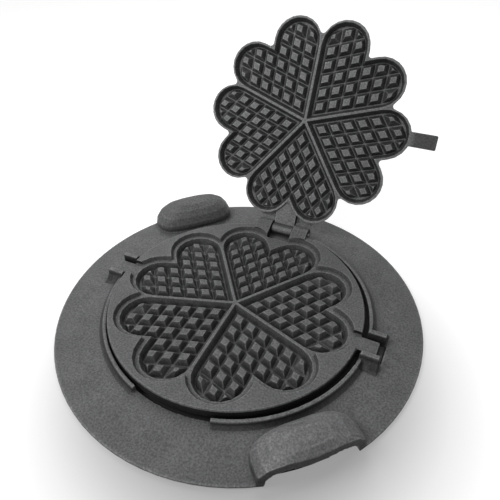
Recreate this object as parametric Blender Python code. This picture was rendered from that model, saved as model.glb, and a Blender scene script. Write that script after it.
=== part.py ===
"""Stove-top waffle iron of grey cast iron for five joined hearts.

A flat-bottomed base ring stands on the stove. Two plates, joined by a hinge
pin at the rear, hang in it by square stems that lie in two open notches, so
the closed iron can be lifted out or turned over. All sizes are in metres,
+Z is up, the notches lie on the X axis and the hinge is on the +Y side.
"""

import math

import bmesh
import bpy
from mathutils import Matrix, Vector

# Base ring
DISC_PLAY = 0.0023
RIM_WIDTH = 0.0423
RIM_THICKNESS = 0.0026
RIM_CHAMFER = 0.0008
FOOT_WIDTH = 0.0100
FLANGE_TOP = 0.0046
FLANGE_RELIEF = 0.0013
COLLAR_TOP = 0.0094
COLLAR_WIDTH = 0.0033
COLLAR_FLARE = 0.0035
COLLAR_CHAMFER = 0.0006
COLLAR_GAP_ANGLE = 33.0

# Notches for the stems
NOTCH_WIDTH = 0.0184
NOTCH_LENGTH = 0.0148
POST_THICKNESS = 0.00475
POST_LENGTH = 0.0138
POST_TOP = 0.0133
POST_FLARE = 0.0078
PAD_WIDTH = 0.0300
PAD_LENGTH = 0.0190

# Hand grips: two domed shells, open below and at the rim
GRIP_ANGLE = -45.0
GRIP_HALF_WIDTH = 0.0390
GRIP_SETBACK = 0.0100
GRIP_INNER_REACH = 0.0230
GRIP_OUTER_REACH = 0.0140
GRIP_TOP = 0.0266
GRIP_EDGE_TOP = 0.0195
GRIP_EDGE_ROUND = 0.0012
GRIP_BASE = 0.0016
GRIP_SKIRT = 0.0003
HOLLOW_HALF_WIDTH = 0.0335
HOLLOW_SETBACK = 0.0090
HOLLOW_INNER_REACH = 0.0190
HOLLOW_OUTER_REACH = 0.0123
HOLLOW_TOP = 0.0183

# Lower plate
DISC_BORDER = 0.0075
DISC_TOP = 0.0128
DISC_UNDERSIDE = 0.0050
DISC_CHAMFER = 0.0008
PAN_BOTTOM = 0.0005
PAN_SPREAD = 0.0020
PAN_DRAFT = 0.0026
RECESS_DEPTH = 0.0039
RECESS_CLEARANCE = 0.0008
RECESS_DRAFT = 0.0017
CHANNEL_WIDTH = 0.0160

# Square stems of both plates
STEM_WIDTH = 0.0130
STEM_THICKNESS = 0.0065
STEM_LANDING = 0.0118
STEM_CHAMFER = 0.0006

# Upper plate
PLATE_THICKNESS = 0.0095
PLATE_DRAFT = 0.0012
PLATE_CHAMFER = 0.0012

# Heart flower and its lattice; the first ridge is a hair off 54 degrees, which keeps stud corners off the
# part's middle plane, where the Booleans would leave slits
RIDGE_ANGLE = 54.02
HEART_FLANK = 0.0089864317
LOBE_RADIUS = 0.0230
FLOWER_FILLET = 0.0030
POCKET_SETBACK = 0.0005
RIDGE_WIDTH = 0.0022
RIM_LAND = 0.0019
POCKET_DEPTH = 0.0058
POCKET_WALL_RUN = 0.0027
CELL_PITCH = 0.01281
FIRST_CELL = 0.01144
GROOVE_WIDTH = 0.0010
END_GROOVE = 0.0006
STUD_HEIGHT = 0.0049
STUD_SLOPE_RUN = 0.0026
STUD_ROOT = 0.0002
SHORTEST_SIDE = 0.0005

# Hinge
HINGE_SETBACK = 0.0010
HINGE_RISE = 0.0019
LUG_RADIUS = 0.0070
LUG_BOTTOM = 0.0050
LUG_WIDTH = 0.0150
LUG_TOE_RUN = 0.0069
SLOT_RUN = 0.0149
SLOT_FLOOR = 0.0055
STOP_SETBACK = 0.0018
FOOT_OVERLAP = 0.0030
FOOT_BOTTOM = 0.0017
FOOT_RUN = 0.0314
KNUCKLE_RADIUS = 0.0050
KNUCKLE_WIDTH = 0.0206
HEEL_RADIUS = 0.0060
WEB_THICKNESS = 0.0074
WEB_RUN = 0.0304
GUSSET_THICKNESS = 0.0030
GUSSET_RUN = 0.0354
GUSSET_SETBACK = 0.0089
GUSSET_ROOT = 0.0200
GUSSET_HALF_WIDTH = 0.0250
GUSSET_FLARE = 0.0050
PIN_RADIUS = 0.0025
PIN_HEAD = 0.0010
OPEN_ANGLE = 118.9

# Fits
SEAT_GAP = 0.0003
SIDE_PLAY = 0.0007
IRON_SHIFT = -0.0017
OVERRUN = 0.0020

# Counts and shape exponents
HEARTS = 5
CELLS_LONG = 6
CELLS_WIDE = 3
CIRCLE_STEPS = 84
LOBE_STEPS = 9
FILLET_STEPS = 3
FLARE_STEPS = 3
DOME_RINGS = 5
DOME_STEPS = 24
EDGE_STEPS = 4
LUG_STEPS = 14
PIN_STEPS = 20
GRIP_PLAN_POWER = 3.4
HOLLOW_PLAN_POWER = 5.0
RISE_POWER = 2.4
FLARE_POWER = 2.2
SMALLEST_STUD_share = 0.08
STEEPEST_share = 0.75

# Places worked out from the sizes above
SECTOR = 2 * math.pi / HEARTS
RIDGE_START = math.radians(RIDGE_ANGLE)

# The two lobes of a heart touch its own ridge, and its straight flanks start where neighbours meet
LOBE_ASIDE = LOBE_RADIUS
FLOWER_SIDE = LOBE_ASIDE + LOBE_RADIUS
LOBE_ALONG = FLOWER_SIDE / math.tan(SECTOR / 2) + HEART_FLANK
POCKET_ALONG = LOBE_ALONG - POCKET_SETBACK
DISC_RADIUS = math.hypot(LOBE_ALONG, LOBE_ASIDE) + LOBE_RADIUS + DISC_BORDER
OPENING_RADIUS = DISC_RADIUS + DISC_PLAY
RIM_RADIUS = OPENING_RADIUS + RIM_WIDTH
STEM_REACH = OPENING_RADIUS + STEM_LANDING
PART_PLANE = DISC_TOP - RECESS_DEPTH
LID_FACE = PART_PLANE + SEAT_GAP
LID_BACK = LID_FACE + PLATE_THICKNESS
NOTCH_FLOOR = PART_PLANE - STEM_THICKNESS - SEAT_GAP
POST_END = OPENING_RADIUS + POST_LENGTH
POCKET_RADIUS = (FLOWER_SIDE - RIM_LAND - RIDGE_WIDTH / 2) / 2
POCKET_ASIDE = RIDGE_WIDTH / 2 + POCKET_RADIUS
HINGE_Y = DISC_RADIUS + HINGE_SETBACK
HINGE_HEIGHT = PART_PLANE + HINGE_RISE
LUG_INNER = KNUCKLE_WIDTH / 2 + SIDE_PLAY
LUG_OUTER = LUG_INNER + LUG_WIDTH
LUG_TOE = HINGE_Y - LUG_RADIUS - LUG_TOE_RUN
SLOT_START = HINGE_Y - SLOT_RUN
STOP_EDGE = HINGE_Y - STOP_SETBACK
FOOT_START = HINGE_Y - FOOT_RUN
FOOT_HALF_WIDTH = LUG_INNER + FOOT_OVERLAP
WEB_START = HINGE_Y - WEB_RUN
GUSSET_START = HINGE_Y - GUSSET_RUN
GUSSET_END = HINGE_Y - GUSSET_SETBACK


def clear_scene():
    """Remove whatever the opened file holds."""
    for item in list(bpy.data.objects):
        bpy.data.objects.remove(item, do_unlink=True)


def make_material(name, colour, roughness, metallic):
    """A plain Principled material."""
    material = bpy.data.materials.new(name)
    material.use_nodes = True
    shader = material.node_tree.nodes["Principled BSDF"]
    shader.inputs["Base Color"].default_value = (*colour, 1.0)
    shader.inputs["Roughness"].default_value = roughness
    shader.inputs["Metallic"].default_value = metallic
    material.diffuse_color = (*colour, 1.0)
    return material


def add_empty(name, parent, location):
    """A guide that carries other objects; it has no shape of its own."""
    empty = bpy.data.objects.new(name, None)
    bpy.context.scene.collection.objects.link(empty)
    empty.parent = parent
    empty.location = location
    empty.empty_display_size = STEM_WIDTH
    return empty


def add_object(name, shape, parent, material=None):
    """Turn a bmesh into an object under its parent; without a material it is a cutter or a blank."""
    bmesh.ops.recalc_face_normals(shape, faces=shape.faces)
    mesh = bpy.data.meshes.new(name)
    shape.to_mesh(mesh)
    shape.free()
    item = bpy.data.objects.new(name, mesh)
    bpy.context.scene.collection.objects.link(item)
    item.parent = parent
    if material is None:
        item.hide_render = True
        item.display_type = "WIRE"
    else:
        mesh.materials.append(material)
        mesh.shade_smooth()
        mesh.set_sharp_from_angle(angle=math.radians(30.0))
    return item


def combine(target, other, operation):
    """Add a live Boolean to the target."""
    step = target.modifiers.new(other.name, "BOOLEAN")
    step.operation = operation
    step.solver = "EXACT"
    step.object = other


def loft(shape, levels):
    """Skin closed outlines, given as (points, height) from bottom to top, into one closed body."""
    rings = []
    for points, height in levels:
        rings.append([shape.verts.new((x, y, height)) for x, y in points])
    for low, high in zip(rings, rings[1:]):
        count = len(low)
        for k in range(count):
            n = (k + 1) % count
            shape.faces.new((low[k], low[n], high[n], high[k]))
    shape.faces.new(list(reversed(rings[0])))
    shape.faces.new(rings[-1])


def extrude_along_x(shape, profile, start, end):
    """A bar along X whose (y, z) section is the profile."""
    first = [shape.verts.new((start, y, z)) for y, z in profile]
    last = [shape.verts.new((end, y, z)) for y, z in profile]
    count = len(profile)
    for k in range(count):
        n = (k + 1) % count
        shape.faces.new((first[k], first[n], last[n], last[k]))
    shape.faces.new(list(reversed(first)))
    shape.faces.new(last)


def revolve(shape, profile, start, end, steps):
    """Turn a closed (radius, height) profile about Z; a full turn closes on itself, an arc gets end caps."""
    full = math.isclose(abs(end - start), 2 * math.pi)
    count = steps if full else steps + 1
    rings = []
    for k in range(count):
        angle = start + (end - start) * k / steps
        rings.append([shape.verts.new((r * math.cos(angle), r * math.sin(angle), z)) for r, z in profile])
    size = len(profile)
    for k in range(steps):
        low, high = rings[k], rings[(k + 1) % count]
        for i in range(size):
            n = (i + 1) % size
            shape.faces.new((low[i], low[n], high[n], high[i]))
    if not full:
        shape.faces.new(list(reversed(rings[0])))
        shape.faces.new(rings[-1])


def box(shape, low, high):
    """A block between two corners."""
    points = [(low[0], low[1]), (high[0], low[1]), (high[0], high[1]), (low[0], high[1])]
    loft(shape, [(points, low[2]), (points, high[2])])


def circle(radius, steps=CIRCLE_STEPS):
    """Points of a circle, half a step off the X axis."""
    turn = 2 * math.pi / steps
    return [(radius * math.cos((k + 0.5) * turn), radius * math.sin((k + 0.5) * turn)) for k in range(steps)]


def flare(reach, rise, steps=FLARE_STEPS):
    """A hollow curve from a foot that lies reach out and rise down to the top at (0, 0)."""
    points = []
    for k in range(steps + 1):
        share = k / steps
        points.append((reach * (1 - share) ** FLARE_POWER, -rise * (1 - share)))
    return points


def turned(point, angle):
    """A point turned about the Z axis."""
    x, y = point
    return (x * math.cos(angle) - y * math.sin(angle), x * math.sin(angle) + y * math.cos(angle))


def arc(centre, radius, start, end, steps, ends=True):
    """Points of an arc from one bearing to another."""
    span = range(steps + 1) if ends else range(1, steps)
    points = []
    for k in span:
        angle = start + (end - start) * k / steps
        points.append((centre[0] + radius * math.cos(angle), centre[1] + radius * math.sin(angle)))
    return points


def mirrored(points):
    """The same points on the other side of the heart's axis, in reverse order."""
    return [turned((x, -y), SECTOR) for x, y in reversed(points)]


def flower_outline(grow):
    """The outline of ten joined lobes, moved out by grow, with fillets between the lobes."""
    radius = LOBE_RADIUS + grow
    fillet = FLOWER_FILLET - grow
    half = SECTOR / 2
    notch = LOBE_ALONG + math.sqrt((radius + fillet) ** 2 - LOBE_ASIDE ** 2)
    touch = math.atan2(LOBE_ASIDE, LOBE_ALONG - notch)
    cleft = (FLOWER_SIDE + FLOWER_FILLET) / math.sin(half)
    heart = arc((notch, 0), fillet, 2 * math.pi - touch, touch, 2 * FILLET_STEPS, False)
    first = math.atan2(-LOBE_ASIDE, notch - LOBE_ALONG)
    lobe = arc((LOBE_ALONG, LOBE_ASIDE), radius, first, math.pi / 2, LOBE_STEPS)
    centre = (cleft * math.cos(half), cleft * math.sin(half))
    inner = arc(centre, fillet, -math.pi / 2, half - math.pi, FILLET_STEPS)
    heart += lobe + inner + mirrored(inner)[1:] + mirrored(lobe)
    points = []
    for k in range(HEARTS):
        points += [turned(point, RIDGE_START + k * SECTOR) for point in heart]
    return points


def heart_outline(run):
    """One heart pocket between ridge 0 and ridge 1, drawn in by run from its outline at the parting plane."""
    near = RIDGE_WIDTH / 2 + run
    far = FLOWER_SIDE - RIM_LAND - run
    half = SECTOR / 2
    lobe = arc((POCKET_ALONG, POCKET_ASIDE), POCKET_RADIUS - run, -math.pi / 2, math.pi / 2, LOBE_STEPS)
    tip = (near / math.tan(half), near)
    cleft = (far / math.tan(half), far)
    return [tip] + lobe + [cleft] + mirrored(lobe)


def clip(points, normal, limit):
    """Keep the part of a convex outline where normal . point is at most limit."""
    kept = []
    for k, point in enumerate(points):
        following = points[(k + 1) % len(points)]
        here = normal[0] * point[0] + normal[1] * point[1] - limit
        there = normal[0] * following[0] + normal[1] * following[1] - limit
        if here <= 0:
            kept.append(point)
        if (here < 0 < there) or (there < 0 < here):
            share = here / (here - there)
            kept.append((point[0] + (following[0] - point[0]) * share, point[1] + (following[1] - point[1]) * share))
    return kept


def area(points):
    """Signed area of an outline."""
    total = 0
    for k, (x, y) in enumerate(points):
        nx, ny = points[(k + 1) % len(points)]
        total += (x * ny - nx * y) / 2
    return total


def without_short_sides(points):
    """The outline without corners that lie very close to the one before."""
    kept = [point for k, point in enumerate(points) if math.dist(point, points[k - 1]) > SHORTEST_SIDE]
    return kept if len(kept) > 2 else []


def stud_foot(row, column):
    """The foot of one stud, cut to the round end of its lobe; row counts along ridge 0, column along ridge 1."""
    half = (CELL_PITCH - GROOVE_WIDTH / math.sin(SECTOR)) / 2
    points = []
    for a, b in ((-half, -half), (half, -half), (half, half), (-half, half)):
        along = FIRST_CELL + row * CELL_PITCH + a
        across = FIRST_CELL + column * CELL_PITCH + b
        points.append((along + across * math.cos(SECTOR), across * math.sin(SECTOR)))
    radius = POCKET_RADIUS - POCKET_WALL_RUN - END_GROOVE
    if row >= CELLS_LONG - 2:
        for k in range(LOBE_STEPS + 1):
            angle = math.pi * k / LOBE_STEPS - math.pi / 2
            normal = (math.cos(angle), math.sin(angle))
            limit = normal[0] * POCKET_ALONG + normal[1] * POCKET_ASIDE + radius
            points = clip(points, normal, limit)
            if len(points) < 3:
                return []
    return without_short_sides(points)


def heart_studs():
    """Feet of all studs of one heart: three rows along each ridge, sharing the nine next to the centre."""
    feet = []
    for row in range(CELLS_LONG):
        for column in range(CELLS_WIDE):
            points = stud_foot(row, column)
            if len(points) < 3 or area(points) < SMALLEST_STUD_share * CELL_PITCH ** 2:
                continue
            feet.append(points)
            if row >= CELLS_WIDE:
                feet.append(mirrored(points))
    return feet


def add_stud(shape, foot, floor, direction):
    """One stud from below the floor to its smaller top; a small foot gives a lower stud with the same slope."""
    cx = sum(x for x, y in foot) / len(foot)
    cy = sum(y for x, y in foot) / len(foot)
    reach = min(
        abs((nx - x) * (y - cy) - (ny - y) * (x - cx)) / math.dist((x, y), (nx, ny))
        for (x, y), (nx, ny) in zip(foot, foot[1:] + foot[:1])
    )
    run = min(STUD_SLOPE_RUN, reach * STEEPEST_share)
    height = STUD_HEIGHT * run / STUD_SLOPE_RUN
    levels = []
    for level in (-STUD_ROOT, height):
        share = 1 - run * level / height / reach
        points = [(cx + (x - cx) * share, cy + (y - cy) * share) for x, y in foot]
        levels.append((points, floor + direction * level))
    loft(shape, levels)


def add_waffle(plate, name, parent, plane, direction, offset):
    """Cut five heart pockets into a face at plane and stand their studs in them; direction points out of the metal."""
    floor = plane - direction * POCKET_DEPTH
    pockets = bmesh.new()
    studs = bmesh.new()
    feet = heart_studs()
    for heart in range(HEARTS):
        bearing = RIDGE_START + heart * SECTOR
        levels = []
        for run, height in ((POCKET_WALL_RUN, floor), (0, plane), (0, plane + direction * OVERRUN)):
            levels.append(([turned(point, bearing) for point in heart_outline(run)], height))
        loft(pockets, levels)
        for foot in feet:
            add_stud(studs, [turned(point, bearing) for point in foot], floor, direction)
    combine(plate, add_object(name + "_pockets", moved(pockets, offset), parent), "DIFFERENCE")
    combine(plate, add_object(name + "_studs", moved(studs, offset), parent), "UNION")


def moved(shape, offset):
    """The same shape, shifted."""
    bmesh.ops.translate(shape, verts=shape.verts, vec=Vector(offset))
    return shape


def grip_form(centre, half_width, inner, outer, base, top, skirt, power):
    """A domed hump on a short skirt; its plan is a rounded box that points outward along X."""
    shape = bmesh.new()
    rings = []
    for level in range(DOME_RINGS):
        lean = (math.pi / 2) * level / DOME_RINGS
        width = math.cos(lean) ** (2 / RISE_POWER)
        height = base + (top - base) * math.sin(lean) ** (2 / RISE_POWER)
        ring = []
        for k in range(DOME_STEPS):
            angle = 2 * math.pi * (k + 0.5) / DOME_STEPS
            c, s = math.cos(angle), math.sin(angle)
            reach = outer if c > 0 else inner
            u = math.copysign(abs(c) ** (2 / power), c) * reach * width
            w = math.copysign(abs(s) ** (2 / power), s) * half_width * width
            ring.append((centre + u, w, height))
        rings.append(ring)
    rings.insert(0, [(x, y, base - skirt) for x, y, z in rings[0]])
    made = [[shape.verts.new(point) for point in ring] for ring in rings]
    for low, high in zip(made, made[1:]):
        for k in range(DOME_STEPS):
            n = (k + 1) % DOME_STEPS
            shape.faces.new((low[k], low[n], high[n], high[k]))
    shape.faces.new(list(reversed(made[0])))
    crown = shape.verts.new((centre, 0, top))
    for k in range(DOME_STEPS):
        shape.faces.new((made[-1][k], made[-1][(k + 1) % DOME_STEPS], crown))
    return shape


def two_grips(*sizes):
    """The same form at both ends of one diameter."""
    pair = bmesh.new()
    for turn in (math.radians(GRIP_ANGLE), math.radians(GRIP_ANGLE) + math.pi):
        one = grip_form(*sizes)
        bmesh.ops.rotate(one, verts=one.verts, matrix=Matrix.Rotation(turn, 3, "Z"))
        mesh = bpy.data.meshes.new("grip_form")
        one.to_mesh(mesh)
        one.free()
        pair.from_mesh(mesh)
        bpy.data.meshes.remove(mesh)
    return pair


def make_flange(parent, iron):
    """The flat ring, a little dished below, wider than its final outline all round."""
    inner = OPENING_RADIUS - OVERRUN
    outer = RIM_RADIUS + OVERRUN
    profile = [(inner, FLANGE_RELIEF), (RIM_RADIUS - FOOT_WIDTH, 0), (outer, 0)]
    profile += [(outer, RIM_THICKNESS - RIM_CHAMFER - OVERRUN / 2), (RIM_RADIUS - RIM_CHAMFER, RIM_THICKNESS)]
    profile += [(OPENING_RADIUS, FLANGE_TOP), (inner, FLANGE_TOP)]
    shape = bmesh.new()
    revolve(shape, profile, 0, 2 * math.pi, CIRCLE_STEPS)
    return add_object("base_ring", shape, parent, iron)


def make_collar(parent):
    """Low collar round the opening, left out in front and behind, where the hinge needs room."""
    top_out = OPENING_RADIUS + COLLAR_WIDTH
    foot = FLANGE_TOP - RIM_CHAMFER
    inner = OPENING_RADIUS - OVERRUN
    low = RIM_THICKNESS
    shoulder = COLLAR_TOP - COLLAR_CHAMFER
    profile = [(inner, low), (top_out + COLLAR_FLARE, low)]
    for out, down in flare(COLLAR_FLARE, shoulder - foot):
        profile.append((top_out + out, shoulder + down))
    profile += [(top_out - COLLAR_CHAMFER, COLLAR_TOP), (inner, COLLAR_TOP)]
    shape = bmesh.new()
    notch_edge = math.asin((NOTCH_WIDTH + POST_THICKNESS) / 2 / OPENING_RADIUS)
    gap_edge = math.radians(COLLAR_GAP_ANGLE) / 2
    for quarter in range(4):
        start, end = (notch_edge, gap_edge) if quarter % 2 == 0 else (gap_edge, notch_edge)
        bearing = quarter * math.pi / 2
        revolve(shape, profile, bearing + start, bearing + math.pi / 2 - end, CIRCLE_STEPS // 4)
    return add_object("collar_blank", shape, parent)


def make_posts(parent):
    """Two flared posts on each side, which keep the stems between them, and a pad below each notch."""
    inner = NOTCH_WIDTH / 2
    foot = FLANGE_TOP - RIM_CHAMFER
    shoulder = POST_TOP - COLLAR_CHAMFER
    outer = inner + POST_THICKNESS
    profile = [(inner, RIM_THICKNESS), (outer + POST_FLARE, RIM_THICKNESS)]
    for out, down in flare(POST_FLARE, shoulder - foot):
        profile.append((outer + out, shoulder + down))
    profile += [(outer - COLLAR_CHAMFER, POST_TOP), (inner, POST_TOP)]
    shape = bmesh.new()
    start = OPENING_RADIUS - NOTCH_WIDTH / 2
    for side in (1, -1):
        for end in (1, -1):
            extrude_along_x(shape, [(side * y, z) for y, z in profile], end * start, end * POST_END)
    return add_object("post_blank", shape, parent)


def make_pads(parent):
    """Thicker metal below each notch."""
    shape = bmesh.new()
    for end in (1, -1):
        near, far = sorted((end * (OPENING_RADIUS - OVERRUN), end * (OPENING_RADIUS + PAD_LENGTH)))
        box(shape, (near, -PAD_WIDTH / 2, 0), (far, PAD_WIDTH / 2, RIM_THICKNESS))
    return add_object("pad_blank", shape, parent)


def make_ring_envelope(parent):
    """Everything outside this round body is trimmed off; it rounds the outer edge of the grips too."""
    levels = [(circle(RIM_RADIUS - RIM_CHAMFER), 0), (circle(RIM_RADIUS), RIM_CHAMFER)]
    for k in range(EDGE_STEPS + 1):
        lean = (math.pi / 2) * k / EDGE_STEPS
        radius = RIM_RADIUS - GRIP_EDGE_ROUND * (1 - math.cos(lean))
        levels.append((circle(radius), GRIP_EDGE_TOP + (GRIP_TOP - GRIP_EDGE_TOP) * math.sin(lean)))
    levels.append((circle(RIM_RADIUS - GRIP_EDGE_ROUND), GRIP_TOP + OVERRUN))
    shape = bmesh.new()
    loft(shape, levels)
    return add_object("rim_trim", shape, parent)


def make_base_ring(parent, iron):
    """One casting: flange, collar, four posts and two hand grips."""
    ring = make_flange(parent, iron)
    combine(ring, make_collar(parent), "UNION")
    combine(ring, make_posts(parent), "UNION")
    combine(ring, make_pads(parent), "UNION")
    domes = two_grips(RIM_RADIUS - GRIP_SETBACK, GRIP_HALF_WIDTH, GRIP_INNER_REACH, GRIP_OUTER_REACH,
                      GRIP_BASE, GRIP_TOP, GRIP_SKIRT, GRIP_PLAN_POWER)
    combine(ring, add_object("grip_blank", domes, parent), "UNION")
    combine(ring, make_ring_envelope(parent), "INTERSECT")

    opening = bmesh.new()
    loft(opening, [(circle(OPENING_RADIUS), -OVERRUN), (circle(OPENING_RADIUS), GRIP_TOP)])
    combine(ring, add_object("opening_cut", opening, parent), "DIFFERENCE")

    slots = bmesh.new()
    for end in (1, -1):
        near, far = sorted((end * (OPENING_RADIUS - NOTCH_WIDTH), end * (OPENING_RADIUS + NOTCH_LENGTH)))
        box(slots, (near, -NOTCH_WIDTH / 2, NOTCH_FLOOR), (far, NOTCH_WIDTH / 2, POST_TOP + OVERRUN))
    combine(ring, add_object("notch_cut", slots, parent), "DIFFERENCE")

    hollows = two_grips(RIM_RADIUS - HOLLOW_SETBACK, HOLLOW_HALF_WIDTH, HOLLOW_INNER_REACH, HOLLOW_OUTER_REACH,
                        0, HOLLOW_TOP, OVERRUN, HOLLOW_PLAN_POWER)
    combine(ring, add_object("grip_hollow", hollows, parent), "DIFFERENCE")
    return ring


def hinge_arc(radius, start, end):
    """Points round the hinge axis from one bearing to another, in the (y, z) plane."""
    return arc((HINGE_Y, HINGE_HEIGHT), radius, start, end, LUG_STEPS)


def tangent_bearing(point, radius):
    """Bearing at which a line from a point in front touches a round on its upper side."""
    along = point[0] - HINGE_Y
    up = point[1] - HINGE_HEIGHT
    return math.atan2(up, along) - math.acos(radius / math.hypot(along, up))


def make_lugs(parent):
    """Two hinge lugs that rise from the disc's rear edge."""
    toe = (LUG_TOE, DISC_TOP - DISC_CHAMFER)
    heel = math.asin((LUG_BOTTOM - HINGE_HEIGHT) / LUG_RADIUS)
    profile = hinge_arc(LUG_RADIUS, heel, tangent_bearing(toe, LUG_RADIUS))
    front = LUG_TOE - DISC_TOP
    profile += [toe, (front, toe[1]), (front, LUG_BOTTOM)]
    shape = bmesh.new()
    for side in (1, -1):
        extrude_along_x(shape, profile, side * LUG_INNER, side * LUG_OUTER)
    return add_object("lug_blank", shape, parent)


def make_hinge_foot(parent):
    """A thick foot that joins the lugs in front of the knuckle; its rear edge stops the open lid."""
    shape = bmesh.new()
    box(shape, (-FOOT_HALF_WIDTH, FOOT_START, FOOT_BOTTOM), (FOOT_HALF_WIDTH, STOP_EDGE, SLOT_FLOOR + OVERRUN))
    return add_object("foot_blank", shape, parent)


def stem_block(shape, side, low, high, start):
    """A square stem with broken edges at its outer end."""
    half = STEM_WIDTH / 2
    end = STEM_REACH
    points = [(start, -half), (end - STEM_CHAMFER, -half), (end, STEM_CHAMFER - half)]
    points += [(end, half - STEM_CHAMFER), (end - STEM_CHAMFER, half), (start, half)]
    if side < 0:
        points = [(-x, y) for x, y in reversed(points)]
    loft(shape, [(points, low), (points, high)])


def make_disc(parent, iron):
    """The round body of the lower plate."""
    shape = bmesh.new()
    inner = circle(DISC_RADIUS - DISC_CHAMFER)
    outer = circle(DISC_RADIUS)
    levels = [(inner, DISC_UNDERSIDE), (outer, DISC_UNDERSIDE + DISC_CHAMFER)]
    levels += [(outer, DISC_TOP - DISC_CHAMFER), (inner, DISC_TOP)]
    loft(shape, levels)
    return add_object("lower_plate", shape, parent, iron)


def make_pan(parent):
    """The flower-shaped pan below the disc, which holds the hearts."""
    shape = bmesh.new()
    inset_bottom = PAN_SPREAD - PAN_DRAFT
    levels = [(flower_outline(inset_bottom - DISC_CHAMFER), PAN_BOTTOM)]
    levels.append((flower_outline(inset_bottom), PAN_BOTTOM + DISC_CHAMFER))
    levels.append((flower_outline(PAN_SPREAD), DISC_UNDERSIDE + DISC_CHAMFER))
    loft(shape, levels)
    return add_object("pan_blank", shape, parent)


def make_recess(parent):
    """The bed for the lid, open at the stems and behind, and the slot for the knuckle."""
    shape = bmesh.new()
    bed = flower_outline(RECESS_CLEARANCE)
    mouth = flower_outline(RECESS_CLEARANCE + RECESS_DRAFT)
    loft(shape, [(bed, PART_PLANE), (mouth, DISC_TOP), (mouth, LID_BACK + OVERRUN)])
    return add_object("recess_cut", shape, parent)


def make_channels(parent):
    """Ways at the level of the bed: two for the stems, one for the lid's web."""
    shape = bmesh.new()
    half = CHANNEL_WIDTH / 2
    for side in (1, -1):
        near, far = sorted((side * LOBE_ALONG, side * (DISC_RADIUS + OVERRUN)))
        box(shape, (near, -half, PART_PLANE), (far, half, LID_BACK + OVERRUN))
    return add_object("channel_cut", shape, parent)


def make_slot(parent):
    """The slot between the lugs, and the step down to it."""
    shape = bmesh.new()
    points = [(WEB_START, PART_PLANE), (SLOT_START, PART_PLANE), (SLOT_START, SLOT_FLOOR)]
    points += [(STOP_EDGE, SLOT_FLOOR), (STOP_EDGE, -OVERRUN)]
    points += [(HINGE_Y + STEM_WIDTH, -OVERRUN), (HINGE_Y + STEM_WIDTH, LID_BACK + OVERRUN)]
    points.append((WEB_START, LID_BACK + OVERRUN))
    extrude_along_x(shape, points, -LUG_INNER, LUG_INNER)
    return add_object("hinge_slot", shape, parent)


def make_lower_plate(parent, iron):
    """Round plate: flower bed, five hearts, two stems and the hinge lugs."""
    plate = make_disc(parent, iron)
    combine(plate, make_pan(parent), "UNION")
    combine(plate, make_lugs(parent), "UNION")
    combine(plate, make_hinge_foot(parent), "UNION")
    combine(plate, make_recess(parent), "DIFFERENCE")
    combine(plate, make_channels(parent), "DIFFERENCE")
    combine(plate, make_slot(parent), "DIFFERENCE")

    stems = bmesh.new()
    for side in (1, -1):
        stem_block(stems, side, PART_PLANE - STEM_THICKNESS, PART_PLANE, DISC_RADIUS - STEM_WIDTH)
    combine(plate, add_object("lower_stems", stems, parent), "UNION")

    combine(plate, make_bore("lower_bore", parent, (0, 0, 0)), "DIFFERENCE")
    add_waffle(plate, "lower", parent, PART_PLANE, 1, (0, 0, 0))
    return plate


def make_bore(name, parent, origin):
    """The hole for the hinge pin."""
    shape = bmesh.new()
    reach = LUG_OUTER + OVERRUN
    section = arc((HINGE_Y - origin[1], HINGE_HEIGHT - origin[2]), PIN_RADIUS + SEAT_GAP, 0, 2 * math.pi, PIN_STEPS)
    extrude_along_x(shape, section[:-1], -reach, reach)
    return add_object(name, shape, parent)


def knuckle_profile():
    """Side view of web and knuckle: the heel behind the barrel lands on the foot when the lid is open."""
    top = LID_BACK - PLATE_CHAMFER / 2
    low = top - WEB_THICKNESS
    along = STOP_EDGE - HINGE_Y
    down = SLOT_FLOOR - HINGE_HEIGHT
    stop = math.atan2(down, along) + SEAT_GAP / math.hypot(along, down)
    heel = stop + math.radians(OPEN_ANGLE)
    touch = math.pi - math.asin((low - HINGE_HEIGHT) / KNUCKLE_RADIUS)
    profile = [(WEB_START, low)]
    profile += hinge_arc(KNUCKLE_RADIUS, touch, heel + 2 * math.pi)
    profile += hinge_arc(HEEL_RADIUS, heel, math.pi / 2)
    profile.append((WEB_START, top))
    return profile


def gusset_form():
    """A flat gusset that fills the corner between the two rear lobes, level with the lid's back."""
    top = LID_BACK - PLATE_CHAMFER / 3
    side = GUSSET_HALF_WIDTH + GUSSET_FLARE
    points = [(-GUSSET_ROOT, GUSSET_START), (GUSSET_ROOT, GUSSET_START), (side, GUSSET_END - GUSSET_FLARE)]
    points += [(GUSSET_HALF_WIDTH, GUSSET_END), (-GUSSET_HALF_WIDTH, GUSSET_END)]
    points.append((-side, GUSSET_END - GUSSET_FLARE))
    shape = bmesh.new()
    loft(shape, [(points, top - GUSSET_THICKNESS), (points, top)])
    return shape


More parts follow.
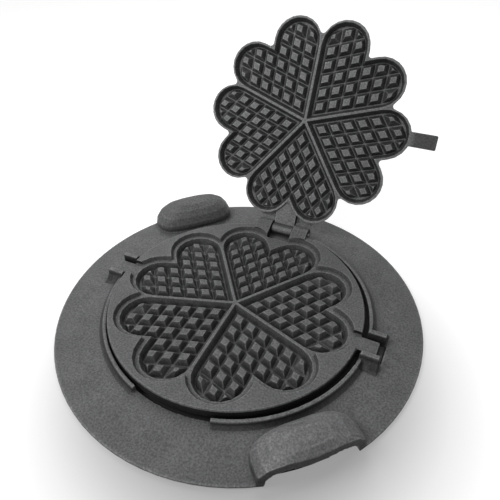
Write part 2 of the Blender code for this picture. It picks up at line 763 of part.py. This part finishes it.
def make_upper_plate(parent, iron):
    """Flower-shaped lid plate with five hearts, one stem and the hinge knuckle, drawn closed on its axis."""
    axis = (0, -HINGE_Y, -HINGE_HEIGHT)
    body = bmesh.new()
    edge = PLATE_CHAMFER / 4
    levels = [(flower_outline(-edge), LID_FACE), (flower_outline(0), LID_FACE + edge)]
    levels.append((flower_outline(-PLATE_DRAFT), LID_BACK - PLATE_CHAMFER))
    levels.append((flower_outline(-PLATE_DRAFT - PLATE_CHAMFER), LID_BACK))
    loft(body, levels)
    plate = add_object("upper_plate", moved(body, axis), parent, iron)

    stem = bmesh.new()
    stem_block(stem, 1, LID_FACE, LID_FACE + STEM_THICKNESS, LOBE_ALONG + LOBE_RADIUS - STEM_WIDTH / 2)
    combine(plate, add_object("upper_stem", moved(stem, axis), parent), "UNION")

    knuckle = bmesh.new()
    extrude_along_x(knuckle, knuckle_profile(), -KNUCKLE_WIDTH / 2, KNUCKLE_WIDTH / 2)
    combine(plate, add_object("knuckle_blank", moved(knuckle, axis), parent), "UNION")

    combine(plate, add_object("gusset_blank", moved(gusset_form(), axis), parent), "UNION")

    combine(plate, make_bore("upper_bore", parent, (0, HINGE_Y, HINGE_HEIGHT)), "DIFFERENCE")
    add_waffle(plate, "upper", parent, LID_FACE, -1, axis)
    return plate


def make_hinge_pin(parent, steel):
    """Plain steel pin with broken edges."""
    shape = bmesh.new()
    end = LUG_OUTER + PIN_HEAD
    stations = [(-end, PIN_RADIUS - PIN_HEAD / 2), (PIN_HEAD / 2 - end, PIN_RADIUS)]
    stations += [(end - PIN_HEAD / 2, PIN_RADIUS), (end, PIN_RADIUS - PIN_HEAD / 2)]
    rings = []
    for x, radius in stations:
        section = arc((HINGE_Y, HINGE_HEIGHT), radius, 0, 2 * math.pi, PIN_STEPS)[:-1]
        rings.append([shape.verts.new((x, y, z)) for y, z in section])
    for low, high in zip(rings, rings[1:]):
        for k in range(PIN_STEPS):
            n = (k + 1) % PIN_STEPS
            shape.faces.new((low[k], low[n], high[n], high[k]))
    shape.faces.new(list(reversed(rings[0])))
    shape.faces.new(rings[-1])
    return add_object("hinge_pin", shape, parent, steel)


def centre_on_floor(root, pieces):
    """Move the whole part so that its box is centred over the origin and stands on the floor."""
    bpy.context.view_layer.update()
    graph = bpy.context.evaluated_depsgraph_get()
    corners = []
    for piece in pieces:
        seen = piece.evaluated_get(graph)
        mesh = seen.to_mesh()
        corners += [piece.matrix_world @ vertex.co for vertex in mesh.vertices]
        seen.to_mesh_clear()
    low = Vector([min(point[k] for point in corners) for k in range(3)])
    high = Vector([max(point[k] for point in corners) for k in range(3)])
    root.location = (-(low.x + high.x) / 2, -(low.y + high.y) / 2, -low.z)


def main():
    clear_scene()
    iron = make_material("cast_iron", (0.105, 0.105, 0.108), 0.62, 0.35)
    steel = make_material("pin_steel", (0.30, 0.30, 0.31), 0.40, 0.90)
    root = add_empty("waffle_iron", None, (0, 0, 0))
    ring = make_base_ring(root, iron)
    seat = add_empty("iron_seat", root, (IRON_SHIFT, 0, 0))
    lower = make_lower_plate(seat, iron)
    pin = make_hinge_pin(seat, steel)
    hinge = add_empty("lid_hinge", seat, (0, HINGE_Y, HINGE_HEIGHT))
    hinge.rotation_euler = (-math.radians(OPEN_ANGLE), 0, 0)
    upper = make_upper_plate(hinge, iron)
    centre_on_floor(root, [ring, lower, pin, upper])


main()
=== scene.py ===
"""Looks of the cast iron waffle iron: rounded castings, sand-cast iron, steel pin, pale floor.

Metres in the row frame. A shade is one number, a colour is three, and a list of stops holds pairs of a
place from 0 to 1 and the shade or colour there.
"""

import math

import bpy
from mathutils import Matrix, Vector


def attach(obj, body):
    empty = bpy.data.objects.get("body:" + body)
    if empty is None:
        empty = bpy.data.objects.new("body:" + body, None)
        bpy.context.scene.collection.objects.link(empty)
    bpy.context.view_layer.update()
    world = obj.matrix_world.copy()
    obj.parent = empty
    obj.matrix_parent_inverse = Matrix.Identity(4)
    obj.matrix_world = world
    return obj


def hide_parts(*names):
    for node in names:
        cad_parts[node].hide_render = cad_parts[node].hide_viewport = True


# Camera, fitted to the photograph: metres, degrees, and pixels of a 500 pixel frame
FRAME_PIXELS = 500.0
CAMERA_AZIMUTH = 27.288
CAMERA_ELEVATION = 35.906
CAMERA_ROLL = -2.296
CAMERA_FROM_RING = (0.1468, -0.2780, 0.3271)
CAMERA_NEAREST = 0.02
FOCAL_PIXELS = 524.59
CENTRE_PIXEL = (237.21, 215.55)
SENSOR_MM = 36.0
RING_CENTRE_Y = -0.030084

# Studio: a dim dome, square lamps (name, place, target, watts, side) and one broad sun from the front
DOME_STRENGTH = 0.20
SOFTBOXES = [("key", (-0.60, -0.48, 0.80), (0.0, 0.0, 0.05), 4.7, 0.40),
             ("back", (-0.30, 0.50, 0.66), (0.0, 0.06, 0.02), 3.0, 0.50)]
SUN_FROM = (0.10, -0.90, 0.60)
SUN_STRENGTH = 0.6
SUN_DEGREES = 40.0

# Floor of white paper, with a painted grey shadow whose shades are counted from its centre, in front of
# the ring
FLOOR_HALF = 20.0
FLOOR_DROP = 0.0004
PAPER_SHADE = 0.42
PAPER_GLOW = 0.76
PAPER_ROUGHNESS = 0.9
PAINTED_SHADOW_CENTRE = (0.030, -0.078, 0.0)
PAINTED_SHADOW_START = 0.095
PAINTED_SHADOW_END = 0.185
PAINTED_SHADOW_SHADES = [(0.05, 0.38), (0.30, 0.56), (0.60, 0.80), (0.95, 1.0)]

# A black disc below the ring that paints the shade seen only through the gaps
SHADE_DISC_RADIUS = 0.1440
SHADE_DISC_DROP = 0.0002
SHADE_DISC_SIDES = 96
SHADE_DISC_GREY = 0.006
SHADE_DISC_ROUGHNESS = 0.8

# Skins of the castings
FINE_VOXEL = 0.00040
RING_VOXEL = 0.00065
SMOOTH_ROUNDS = 2
SMOOTH_STRENGTH = 0.5

# Iron: each pattern of noise is its scale, detail and roughness, each relief its strength and depth
BLOTCHES = (45.0, 4.0, 0.55)
BLOTCH_COLOURS = [(0.30, (0.108, 0.109, 0.111)), (0.72, (0.138, 0.139, 0.141))]
SPECKS = (700.0, 2.0, 0.6)
SPECK_SHADES = [(0.35, 0.64), (0.68, 1.26)]
# Shades by pointiness: hollows darkened as painted shade, edges lightened for wear and as painted
# highlight
EDGE_WEAR_AND_PAINTED_LIGHT = [(0.42, 0.60), (0.50, 1.0), (0.56, (2.40, 2.40, 2.38))]
EDGE_WEAR_AND_LIGHT_SHARE = 0.9
WEAR = (160.0, 3.0, 0.6)
WEAR_ROUGHNESS = [(0.3, 0.50), (0.7, 0.64)]
IRON_METALLIC = 0.10
IRON_SPECULAR = 0.25
SAND = (900.0, 3.0, 0.65)
SAND_RELIEF = (0.95, 0.0004)
WAVES = (170.0, 2.0, 0.5)
WAVES_RELIEF = (0.30, 0.0008)

# Steel of the pin
STEEL_STAINS = (300.0, 3.0, 0.6)
STEEL_COLOURS = [(0.3, 0.10), (0.7, (0.20, 0.19, 0.18))]
STEEL_METALLIC = 0.9
STEEL_ROUGHNESS = 0.42

# Painted shade in the hollows: how far around a point the iron counts, and the shade for each share of
# open sky
HOLLOW_SHADE_REACH = 0.0060
HOLLOW_SHADE_SAMPLES = 8
HOLLOW_PAINTED_SHADE = [(0.10, 0.22), (0.50, 0.50), (0.92, 1.0)]
LID_HOLLOW_PAINTED_SHADE = [(0.10, 0.50), (0.50, 0.80), (0.92, 1.0)]

# Painted shade and light by how squarely flanks look along the direction of the main face of their casting
UPWARD = (0.0, 0.0, 1.0)
LID_OPEN = math.radians(118.9)
LID_FACE = (0.0, -math.sin(LID_OPEN), -math.cos(LID_OPEN))
LOWER_WALL_PAINTED_SHADE = [(0.10, 0.10), (0.40, 0.55), (0.75, 0.62), (0.96, 1.0)]
LID_PAINTED_LIGHT_AND_SHADE = [(0.10, 0.36), (0.40, 0.43), (0.75, 0.47), (0.95, 1.30)]
RING_SKIRT_PAINTED_SHADE = [(0.08, 0.22), (0.45, 1.0)]
COLLAR_PAINTED_SHADE = [(0.30, 0.30), (0.88, 0.42), (0.985, 1.0)]
POST_PAINTED_SHADE = [(0.30, 0.24), (0.92, 0.34), (0.985, 1.0)]

# The collar's outside, the posts' box, both from the ring's axis, and what counts as looking outward
COLLAR_REACH = 0.1180
POST_HALF_X = 0.1237
POST_HALF_Y = 0.0222
OUTWARD_START = 0.15
OUTWARD_END = 0.45

# Grips by height from the flange: painted shade in the crease and on the rear one, painted light on the
# front one
GRIP_HEIGHTS = (0.0042, 0.0180)
CREASE_PAINTED_SHADE = [(0.07, 1.0), (0.11, 0.40), (0.24, 0.60)]
FRONT_GRIP_PAINTED_LIGHT_AND_SHADE = CREASE_PAINTED_SHADE + [(0.48, 1.08), (0.90, 1.32)]
REAR_GRIP_PAINTED_SHADE = CREASE_PAINTED_SHADE + [(0.40, 0.90), (0.90, 0.88)]
FRONT_TO_REAR = (-0.01, 0.01)
NONE_TO_ALL = [(0.0, 0.0), (1.0, 1.0)]

# Painted shade along X on the lid: a little lighter at the left, darker at the right, darkest on the stem
LID_SPAN = (-0.1000, 0.1040)
LID_PAINTED_SHADE_ALONG_X = [(0.0, 1.10), (0.50, 1.04), (0.965, 0.84), (0.985, 0.40)]

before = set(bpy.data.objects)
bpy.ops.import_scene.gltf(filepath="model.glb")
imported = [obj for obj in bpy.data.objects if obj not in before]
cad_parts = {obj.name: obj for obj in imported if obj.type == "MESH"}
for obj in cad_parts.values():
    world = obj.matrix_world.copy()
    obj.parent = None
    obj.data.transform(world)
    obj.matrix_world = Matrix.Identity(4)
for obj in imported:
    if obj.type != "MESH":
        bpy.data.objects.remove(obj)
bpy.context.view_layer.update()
bpy.context.scene.view_settings.view_transform = "Standard"


def lamp(name, kind, strength, direction):
    """A lamp that shines from a direction."""
    light = bpy.data.lights.new(name, kind)
    light.energy = strength
    item = bpy.data.objects.new(name, light)
    bpy.context.scene.collection.objects.link(item)
    item.rotation_euler = direction.to_track_quat("Z", "Y").to_euler()
    return item


def softbox(name, place, target, power, side):
    """A square lamp near the object, whose light fades from one side of it to the other."""
    item = lamp(name, "AREA", power, Vector(place) - Vector(target))
    item.location = place
    item.data.size = side


def white_rays(nodes, links):
    """One for the rays that see a white surround, which are those of the eye, of gloss and of glass."""
    path = nodes.new("ShaderNodeLightPath")
    seen = path.outputs["Is Camera Ray"]
    for kind in ("Is Glossy Ray", "Is Transmission Ray"):
        total = nodes.new("ShaderNodeMath")
        total.operation = "ADD"
        total.use_clamp = True
        links.new(seen, total.inputs[0])
        links.new(path.outputs[kind], total.inputs[1])
        seen = total.outputs["Value"]
    return seen


def make_dome():
    """A dim dome that looks white to the eye and in gloss."""
    world = bpy.data.worlds.new("studio")
    bpy.context.scene.world = world
    world.use_nodes = True
    nodes = world.node_tree.nodes
    links = world.node_tree.links
    dim = nodes["Background"]
    dim.inputs["Color"].default_value = (1.0, 1.0, 1.0, 1.0)
    dim.inputs["Strength"].default_value = DOME_STRENGTH
    white = nodes.new("ShaderNodeBackground")
    white.inputs["Color"].default_value = (1.0, 1.0, 1.0, 1.0)
    mix = nodes.new("ShaderNodeMixShader")
    links.new(white_rays(nodes, links), mix.inputs["Fac"])
    links.new(dim.outputs["Background"], mix.inputs[1])
    links.new(white.outputs["Background"], mix.inputs[2])
    links.new(mix.outputs["Shader"], nodes["World Output"].inputs["Surface"])


def light_scene():
    """The dome, the key lamp from the upper left, the back lamp and the weak sun that fills the front."""
    make_dome()
    for values in SOFTBOXES:
        softbox(*values)
    fill = lamp("front", "SUN", SUN_STRENGTH, Vector(SUN_FROM))
    fill.data.angle = math.radians(SUN_DEGREES)


def make_camera():
    """The photograph's view, from the fitted place, direction and focal length."""
    azimuth = math.radians(CAMERA_AZIMUTH)
    elevation = math.radians(CAMERA_ELEVATION)
    roll = math.radians(CAMERA_ROLL)
    back = Vector((math.sin(azimuth) * math.cos(elevation), -math.cos(azimuth) * math.cos(elevation),
                   math.sin(elevation)))
    level = Vector((math.cos(azimuth), math.sin(azimuth), 0))
    upright = back.cross(level)
    right = level * math.cos(roll) + upright * math.sin(roll)
    up = upright * math.cos(roll) - level * math.sin(roll)
    data = bpy.data.cameras.new("photo_view")
    data.sensor_width = SENSOR_MM
    data.lens = SENSOR_MM * FOCAL_PIXELS / FRAME_PIXELS
    data.shift_x = (FRAME_PIXELS / 2 - CENTRE_PIXEL[0]) / FRAME_PIXELS
    data.shift_y = (CENTRE_PIXEL[1] - FRAME_PIXELS / 2) / FRAME_PIXELS
    data.clip_start = CAMERA_NEAREST
    camera = bpy.data.objects.new("photo_view", data)
    bpy.context.scene.collection.objects.link(camera)
    turn = Matrix((right, up, back)).transposed().to_4x4()
    place = Vector(CAMERA_FROM_RING) + Vector((0, RING_CENTRE_Y, 0))
    camera.matrix_world = Matrix.Translation(place) @ turn
    bpy.context.scene.camera = camera


class Nodes:
    """Short calls for building a node material."""

    def __init__(self, name):
        self.material = bpy.data.materials.new(name)
        self.material.use_nodes = True
        self.tree = self.material.node_tree
        self.shader = self.tree.nodes["Principled BSDF"]

    def add(self, kind, **values):
        """A new node of a kind, with its properties."""
        node = self.tree.nodes.new(kind)
        for key, value in values.items():
            setattr(node, key, value)
        return node

    def link(self, source, target):
        """A wire from an output to an input."""
        self.tree.links.new(source, target)

    def place(self):
        """The place of a point in the row frame."""
        return self.add("ShaderNodeTexCoord").outputs["Object"]

    def noise(self, scale, detail, roughness):
        """Noise through the solid, from nothing to one."""
        node = self.add("ShaderNodeTexNoise")
        node.inputs["Scale"].default_value = scale
        node.inputs["Detail"].default_value = detail
        node.inputs["Roughness"].default_value = roughness
        self.link(self.place(), node.inputs["Vector"])
        return node.outputs["Fac"]

    def ramp(self, source, stops):
        """The colour that a list of stops gives for a value."""
        node = self.add("ShaderNodeValToRGB")
        items = node.color_ramp.elements
        while len(items) < len(stops):
            items.new(0.5)
        for item, (place, colour) in zip(items, stops):
            item.position = place
            item.color = (*colour, 1.0) if isinstance(colour, tuple) else (colour, colour, colour, 1.0)
        self.link(source, node.inputs["Fac"])
        return node.outputs["Color"]

    def times(self, first, second, share=1.0):
        """Two colours multiplied, wholly or by a share."""
        node = self.add("ShaderNodeMix", data_type="RGBA", blend_type="MULTIPLY")
        node.inputs["Factor"].default_value = share
        self.link(first, node.inputs["A"])
        self.link(second, node.inputs["B"])
        return node.outputs["Result"]

    def between(self, factor, first, second):
        """The first colour where the factor is nothing, the second where it is one."""
        node = self.add("ShaderNodeMix", data_type="RGBA")
        self.link(factor, node.inputs["Factor"])
        self.link(first, node.inputs["A"])
        self.link(second, node.inputs["B"])
        return node.outputs["Result"]

    def arithmetic(self, operation, first, second=None):
        """A sum on one value, with a number where the sum needs it."""
        node = self.add("ShaderNodeMath", operation=operation)
        self.link(first, node.inputs[0])
        if second is not None:
            node.inputs[1].default_value = second
        return node.outputs["Value"]

    def vector_sum(self, operation, first, second):
        """A sum on two vectors."""
        node = self.add("ShaderNodeVectorMath", operation=operation)
        self.link(first, node.inputs[0])
        node.inputs[1].default_value = second
        return node.outputs["Value"]

    def share(self, value, start, end):
        """How far a value has come from start to end, from nothing to one."""
        node = self.add("ShaderNodeMapRange")
        self.link(value, node.inputs["Value"])
        node.inputs["From Min"].default_value = start
        node.inputs["From Max"].default_value = end
        return node.outputs["Result"]

    def pool(self, shades):
        """Painted shadow on the floor: shades by the distance from its centre."""
        away = self.vector_sum("DISTANCE", self.place(), PAINTED_SHADOW_CENTRE)
        return self.ramp(self.share(away, PAINTED_SHADOW_START, PAINTED_SHADOW_END), shades)

    def hollow_shade(self, shades):
        """Painted shade where the surface is hemmed in."""
        hollow = self.add("ShaderNodeAmbientOcclusion", samples=HOLLOW_SHADE_SAMPLES)
        hollow.inputs["Distance"].default_value = HOLLOW_SHADE_REACH
        return self.ramp(hollow.outputs["AO"], shades)

    def flank(self, face, shades):
        """Painted shade and light by how squarely a surface looks along a direction of its casting, either
        way.
        """
        along = self.vector_sum("DOT_PRODUCT", self.add("ShaderNodeTexCoord").outputs["Normal"], face)
        return self.ramp(self.arithmetic("ABSOLUTE", along), shades)

    def along(self, axis, limits, shades):
        """Shades by the place along an axis of the row frame."""
        place = self.add("ShaderNodeSeparateXYZ")
        self.link(self.place(), place.inputs["Vector"])
        return self.ramp(self.share(place.outputs[axis], *limits), shades)

    def from_ring_centre(self):
        """The place of a point, level with the ring and counted from its centre."""
        place = self.add("ShaderNodeMapping")
        self.link(self.place(), place.inputs["Vector"])
        place.inputs["Location"].default_value = (0.0, -RING_CENTRE_Y, 0.0)
        place.inputs["Scale"].default_value = (1.0, 1.0, 0.0)
        return place.outputs["Vector"]

    def outward(self):
        """One where a face of the ring looks away from the middle, nothing where it looks inward."""
        away = self.add("ShaderNodeVectorMath", operation="NORMALIZE")
        self.link(self.from_ring_centre(), away.inputs[0])
        along = self.add("ShaderNodeVectorMath", operation="DOT_PRODUCT")
        self.link(self.add("ShaderNodeTexCoord").outputs["Normal"], along.inputs[0])
        self.link(away.outputs["Vector"], along.inputs[1])
        return self.share(along.outputs["Value"], OUTWARD_START, OUTWARD_END)

    def reach(self, operation, limit):
        """One where a point lies within, or beyond, a distance from the ring's axis."""
        away = self.add("ShaderNodeVectorMath", operation="LENGTH")
        self.link(self.from_ring_centre(), away.inputs[0])
        return self.arithmetic(operation, away.outputs["Value"], limit)

    def beside_notches(self):
        """One at the posts that hold the stems, nothing elsewhere."""
        place = self.add("ShaderNodeSeparateXYZ")
        self.link(self.from_ring_centre(), place.inputs["Vector"])
        inside = self.add("ShaderNodeMath", operation="MULTIPLY")
        for slot, (axis, half) in enumerate((("X", POST_HALF_X), ("Y", POST_HALF_Y))):
            size = self.arithmetic("ABSOLUTE", place.outputs[axis])
            self.link(self.arithmetic("LESS_THAN", size, half), inside.inputs[slot])
        return inside.outputs["Value"]

    def relief(self, pattern, strength, depth, before=None):
        """A fine relief in the surface, on top of another where there is one."""
        node = self.add("ShaderNodeBump")
        node.inputs["Strength"].default_value = strength
        node.inputs["Distance"].default_value = depth
        self.link(self.noise(*pattern), node.inputs["Height"])
        if before is not None:
            self.link(before, node.inputs["Normal"])
        return node.outputs["Normal"]


def ring_painted_shading(n, colour):
    """Painted shade on outward skirts, the collar's outside and the posts' flared sides; grips shaded by
    height.
    """
    # Painted shade on the skirts that look outward
    skirts = n.times(colour, n.flank(UPWARD, RING_SKIRT_PAINTED_SHADE))
    colour = n.between(n.outward(), colour, skirts)
    # Painted shade on the collar's outside
    collar = n.between(n.outward(), colour, n.times(colour, n.flank(UPWARD, COLLAR_PAINTED_SHADE)))
    colour = n.between(n.reach("LESS_THAN", COLLAR_REACH), colour, collar)
    # Grips by height: painted shade in the crease and on the rear grip, painted light on the front grip's
    # upper part
    front = n.times(colour, n.along("Z", GRIP_HEIGHTS, FRONT_GRIP_PAINTED_LIGHT_AND_SHADE))
    rear = n.times(colour, n.along("Z", GRIP_HEIGHTS, REAR_GRIP_PAINTED_SHADE))
    grips = n.between(n.along("Y", FRONT_TO_REAR, NONE_TO_ALL), front, rear)
    colour = n.between(n.reach("GREATER_THAN", COLLAR_REACH), colour, grips)
    # Painted shade on the flared sides of the posts
    posts = n.times(colour, n.flank(UPWARD, POST_PAINTED_SHADE))
    return n.between(n.beside_notches(), colour, posts)


def lower_painted_shading(n, colour):
    """Painted shade on the walls of the lower pockets and studs and on the plate's upright sides."""
    return n.times(colour, n.flank(UPWARD, LOWER_WALL_PAINTED_SHADE))


def lid_painted_shading(n, colour):
    """Painted shade on the walls of pockets and studs, painted light on the face and ridges, more shade to
    the stem.
    """
    colour = n.times(colour, n.flank(LID_FACE, LID_PAINTED_LIGHT_AND_SHADE))
    return n.times(colour, n.along("X", LID_SPAN, LID_PAINTED_SHADE_ALONG_X))


def iron_material(name, hollow_shade, painted_shading):
    """Matt sand-cast iron: sandy grain, slight blotches, painted shade in hollows, worn edges with painted
    highlight.
    """
    n = Nodes(name)
    colour = n.ramp(n.noise(*BLOTCHES), BLOTCH_COLOURS)
    colour = n.times(colour, n.ramp(n.noise(*SPECKS), SPECK_SHADES))
    # Pointiness: painted shade in the hollows, edges lightened for wear and as painted highlight
    edges = n.ramp(n.add("ShaderNodeNewGeometry").outputs["Pointiness"], EDGE_WEAR_AND_PAINTED_LIGHT)
    colour = n.times(colour, edges, EDGE_WEAR_AND_LIGHT_SHARE)
    # Painted shade where the iron is hemmed in
    colour = n.times(colour, n.hollow_shade(hollow_shade))
    # Painted light and shade by facing and place, given for each casting
    n.link(painted_shading(n, colour), n.shader.inputs["Base Color"])
    n.link(n.ramp(n.noise(*WEAR), WEAR_ROUGHNESS), n.shader.inputs["Roughness"])
    n.shader.inputs["Metallic"].default_value = IRON_METALLIC
    n.shader.inputs["Specular IOR Level"].default_value = IRON_SPECULAR
    sand = n.relief(SAND, *SAND_RELIEF)
    n.link(n.relief(WAVES, *WAVES_RELIEF, sand), n.shader.inputs["Normal"])
    return n.material


def steel_material():
    """Dull drawn steel of the pin, darkened by heat."""
    n = Nodes("dull_steel")
    n.link(n.ramp(n.noise(*STEEL_STAINS), STEEL_COLOURS), n.shader.inputs["Base Color"])
    n.shader.inputs["Metallic"].default_value = STEEL_METALLIC
    n.shader.inputs["Roughness"].default_value = STEEL_ROUGHNESS
    return n.material


def paper_material():
    """Paper that stays white to the eye and keeps the shadow, with a painted grey shadow in front of the
    ring.
    """
    n = Nodes("white_paper")
    # The painted shadow darkens the paper's colour and its glow alike
    shades = [(place, PAPER_SHADE * shade) for place, shade in PAINTED_SHADOW_SHADES]
    n.link(n.pool(shades), n.shader.inputs["Base Color"])
    n.shader.inputs["Roughness"].default_value = PAPER_ROUGHNESS
    n.link(n.pool(PAINTED_SHADOW_SHADES), n.shader.inputs["Emission Color"])
    glow = n.arithmetic("MULTIPLY", white_rays(n.tree.nodes, n.tree.links), PAPER_GLOW)
    n.link(glow, n.shader.inputs["Emission Strength"])
    return n.material


def shade_disc_material():
    """Matt black of the disc that paints the shade under the ring."""
    n = Nodes("painted_shade_black")
    n.shader.inputs["Base Color"].default_value = (SHADE_DISC_GREY, SHADE_DISC_GREY, SHADE_DISC_GREY, 1.0)
    n.shader.inputs["Roughness"].default_value = SHADE_DISC_ROUGHNESS
    return n.material


def stage_sheet(name, points, height, material):
    """One flat face that isn't part of the object."""
    mesh = bpy.data.meshes.new(name)
    mesh.from_pydata([(x, y, 0) for x, y in points], [], [tuple(range(len(points)))])
    mesh.materials.append(material)
    sheet = bpy.data.objects.new(name, mesh)
    bpy.context.scene.collection.objects.link(sheet)
    sheet.location.z = height
    return sheet


def make_stage():
    """The paper and, under the ring, the black disc that paints the shade seen through the gaps."""
    half = FLOOR_HALF
    square = [(-half, -half), (half, -half), (half, half), (-half, half)]
    stage_sheet("floor", square, -FLOOR_DROP, paper_material())
    turns = [2 * math.pi * k / SHADE_DISC_SIDES for k in range(SHADE_DISC_SIDES)]
    disc = [(SHADE_DISC_RADIUS * math.cos(turn), SHADE_DISC_RADIUS * math.sin(turn)) for turn in turns]
    shade_disc = stage_sheet("painted_shade_disc", disc, -SHADE_DISC_DROP, shade_disc_material())
    shade_disc.location.y = RING_CENTRE_Y


def dress(item, material):
    """One material all over a piece, with smooth shading."""
    item.data.materials.clear()
    item.data.materials.append(material)
    item.data.shade_smooth()


def casting(node, body, voxel, material):
    """A rounded skin over one casting: the solid is remeshed finely and its edges are relaxed."""
    item = bpy.data.objects.new(node + "_casting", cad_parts[node].data.copy())
    bpy.context.scene.collection.objects.link(item)
    remesh = item.modifiers.new("fine", "REMESH")
    remesh.mode = "VOXEL"
    remesh.voxel_size = voxel
    remesh.adaptivity = 0.0
    relax = item.modifiers.new("round", "SMOOTH")
    relax.factor = SMOOTH_STRENGTH
    relax.iterations = SMOOTH_ROUNDS
    bpy.context.view_layer.update()
    graph = bpy.context.evaluated_depsgraph_get()
    mesh = bpy.data.meshes.new_from_object(item.evaluated_get(graph))
    item.modifiers.clear()
    item.data = mesh
    dress(item, material)
    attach(item, body)
    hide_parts(node)


casting("base_ring", "ring", RING_VOXEL, iron_material("ring_iron", HOLLOW_PAINTED_SHADE, ring_painted_shading))
casting("lower_plate", "iron", FINE_VOXEL, iron_material("plate_iron", HOLLOW_PAINTED_SHADE, lower_painted_shading))
casting("upper_plate", "lid", FINE_VOXEL, iron_material("lid_iron", LID_HOLLOW_PAINTED_SHADE, lid_painted_shading))
dress(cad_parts["hinge_pin"], steel_material())

make_stage()
light_scene()
make_camera()
